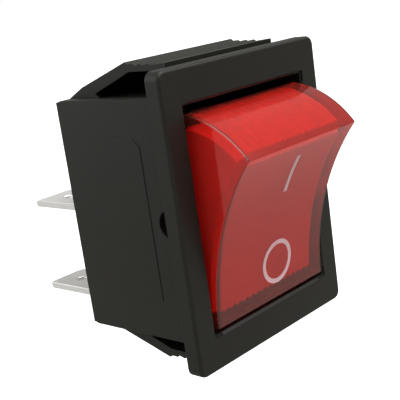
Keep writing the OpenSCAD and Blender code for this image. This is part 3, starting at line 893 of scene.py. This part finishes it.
def foil():
    made, g = material("mark_print", **{"Specular IOR Level": 0.5})
    mottle = g.noise(g.place(), 3.0, 2.0)
    tone = g.mix(mottle, *FOIL_TONES)
    feed(g, Base_Color=tone, Roughness=0.35 + 0.2 * mottle)
    return made


stamped_foil = foil_tree()
mark_foil = foil()
print("foil tree has", len(stamped_foil.nodes), "nodes")

# %% The bar and the ring
BAR_X, BAR_AT, BAR_LEN, BAR_W, BAR_POINTS = 0.36, 5.36, 4.6, 0.55, 24
RING_X, RING_AT, RING_R, RING_W, RING_POINTS = 0.9, -5.6, 2.28, 0.50, 96


def flat_path(name, points, closed):
    """A path as a mesh of points and the edges between them."""
    count = len(points)
    edges = [(i, (i + 1) % count) for i in range(count if closed else count - 1)]
    mesh = bpy.data.meshes.new(name)
    mesh.from_pydata([(x, height, 0) for x, height in points], edges, [])
    return linked(name, mesh)


heights = np.linspace(BAR_AT - BAR_LEN / 2, BAR_AT + BAR_LEN / 2, BAR_POINTS)
bar = [(BAR_X, height) for height in heights]
turns = np.linspace(0, 2 * math.pi, RING_POINTS, endpoint=False)
ring = [(RING_X + RING_R * math.cos(t), RING_AT + RING_R * math.sin(t)) for t in turns]
for mark, width in (
    (flat_path("mark_on_bar", bar, False), BAR_W),
    (flat_path("mark_off_ring", ring, True), RING_W),
):
    values = {"Width": width, "Thickness": FOIL + SUNK, "Sunk": SUNK, "Finish": mark_foil}
    grown(mark, stamped_foil, **values, **{"Face Radius": FACE_R, "Face Centre": FACE_Y})
    at_rocker(mark.data)
    shade(mark)
    finished(mark, "rocker", mark_foil)
    print(mark.name, len(mark.data.polygons), "faces")

# %% [markdown]
# ## Floor, backdrop, lamps and camera
#
# The studio is a white floor under two soft lamps and a pale world. The floor shows
# white to the camera and keeps the object's shadow, and its glow grows with distance,
# so that it has no far edge. To the object it is a plain grey, which keeps the light
# under the switch at an everyday level. Glossy faces see the world a little brighter.

# %% Studio
FLOOR_Z, FLOOR_SIZE = -0.046, 4.0
FLOOR_SHOWN, FLOOR_PLAIN = (0.70, 0.70, 0.70, 1), (0.37, 0.365, 0.345, 1)
GLOW_NEAR, GLOW_FAR = (0.2, 0.72), (0.9, 1.0)
PLAIN_WORLD, GLOSSY_WORLD = 0.25, 0.14
WHITE, WARM_WHITE = (1, 1, 1, 1), (1.0, 0.985, 0.93, 1)


def light_path(g, *kinds):
    """Which kinds of ray are looking, one value for each kind."""
    node = g.node("ShaderNodeLightPath").socket.node
    return [Value(g, node.outputs[kind]) for kind in kinds]


def sweep_material():
    made = bpy.data.materials.new("studio_white")
    made.use_nodes = True
    g = Graph(made.node_tree)
    (camera_ray,) = light_path(g, "Is Camera Ray")
    shown = g.node("ShaderNodeBsdfDiffuse", None, {0: FLOOR_SHOWN})
    away = g.node("ShaderNodeVectorMath", {"operation": "LENGTH"}, {0: g.place()}, 1)
    strength = g.smooth(away, GLOW_NEAR[0], GLOW_FAR[0], GLOW_NEAR[1], GLOW_FAR[1])
    glow = g.node("ShaderNodeEmission", None, {0: WHITE, 1: strength})
    bright = g.node("ShaderNodeAddShader", None, {0: shown, 1: glow})
    plain = g.node("ShaderNodeBsdfDiffuse", None, {0: FLOOR_PLAIN})
    both = g.node("ShaderNodeMixShader", None, {0: camera_ray, 1: plain, 2: bright})
    g.node("ShaderNodeOutputMaterial", None, {0: both})
    return made


bpy.ops.mesh.primitive_plane_add(size=FLOOR_SIZE, location=(0, 0, FLOOR_Z))
floor = bpy.context.object
floor.name = "studio_floor"
floor.data.materials.append(sweep_material())

world = bpy.data.worlds.new("studio_world")
bpy.context.scene.world = world
world.use_nodes = True
g = Graph(world.node_tree)
camera_ray, glossy_ray = light_path(g, "Is Camera Ray", "Is Glossy Ray")
seen = PLAIN_WORLD + (1.0 - PLAIN_WORLD) * camera_ray + GLOSSY_WORLD * glossy_ray
tint = g.mix(camera_ray, WARM_WHITE, WHITE)
back = g.node("ShaderNodeBackground", None, {0: tint, 1: seen})
g.node("ShaderNodeOutputWorld", None, {0: back})


def softbox(name, place, size, watts):
    """A large lamp in the air, turned to the origin."""
    data = bpy.data.lights.new(name, "AREA")
    data.shape = "RECTANGLE"
    data.size, data.size_y = size
    data.energy = watts
    lamp = bpy.data.objects.new(name, data)
    bpy.context.scene.collection.objects.link(lamp)
    lamp.location = place
    lamp.rotation_euler = (-Vector(place)).to_track_quat("-Z", "Y").to_euler()
    return lamp


softbox("key_box", (0.16, -0.28, 0.74), (0.90, 0.90), 11.0)
softbox("side_box", (-0.70, 0.50, 0.30), (1.20, 1.00), 5.5)
print("lit by two softboxes")

# %% [markdown]
# The camera stands a decimetre away, to the left and a little above, and leans a
# little. Its focal length and centre are in parts of the frame's side.

# %% Camera
CAMERA_AT = Vector((-0.07175, -0.06192, 0.02343))
CAMERA_FORWARD = Vector((0.70097, 0.67371, -0.23400))
ROLL = math.radians(-8.16)
SENSOR_W = 36.0
FRAME_SIDE, FOCAL, CENTRE = 400.0, 894.36, (198.61, 198.51)
CLIP_START = 0.005
camera_data = bpy.data.cameras.new("camera")
camera_data.sensor_width = SENSOR_W
camera_data.lens = FOCAL * SENSOR_W / FRAME_SIDE
camera_data.shift_x = (FRAME_SIDE / 2 - CENTRE[0]) / FRAME_SIDE
camera_data.shift_y = -(FRAME_SIDE / 2 - CENTRE[1]) / FRAME_SIDE
camera_data.clip_start = CLIP_START
camera = bpy.data.objects.new("camera", camera_data)
bpy.context.scene.collection.objects.link(camera)
aim = CAMERA_FORWARD.to_track_quat("-Z", "Y").to_matrix().to_4x4()
camera.matrix_world = Matrix.Translation(CAMERA_AT) @ aim @ Matrix.Rotation(ROLL, 4, "Z")
bpy.context.scene.camera = camera
bpy.context.scene.view_settings.view_transform = "Standard"
print("camera at", [round(c, 4) for c in camera.location])
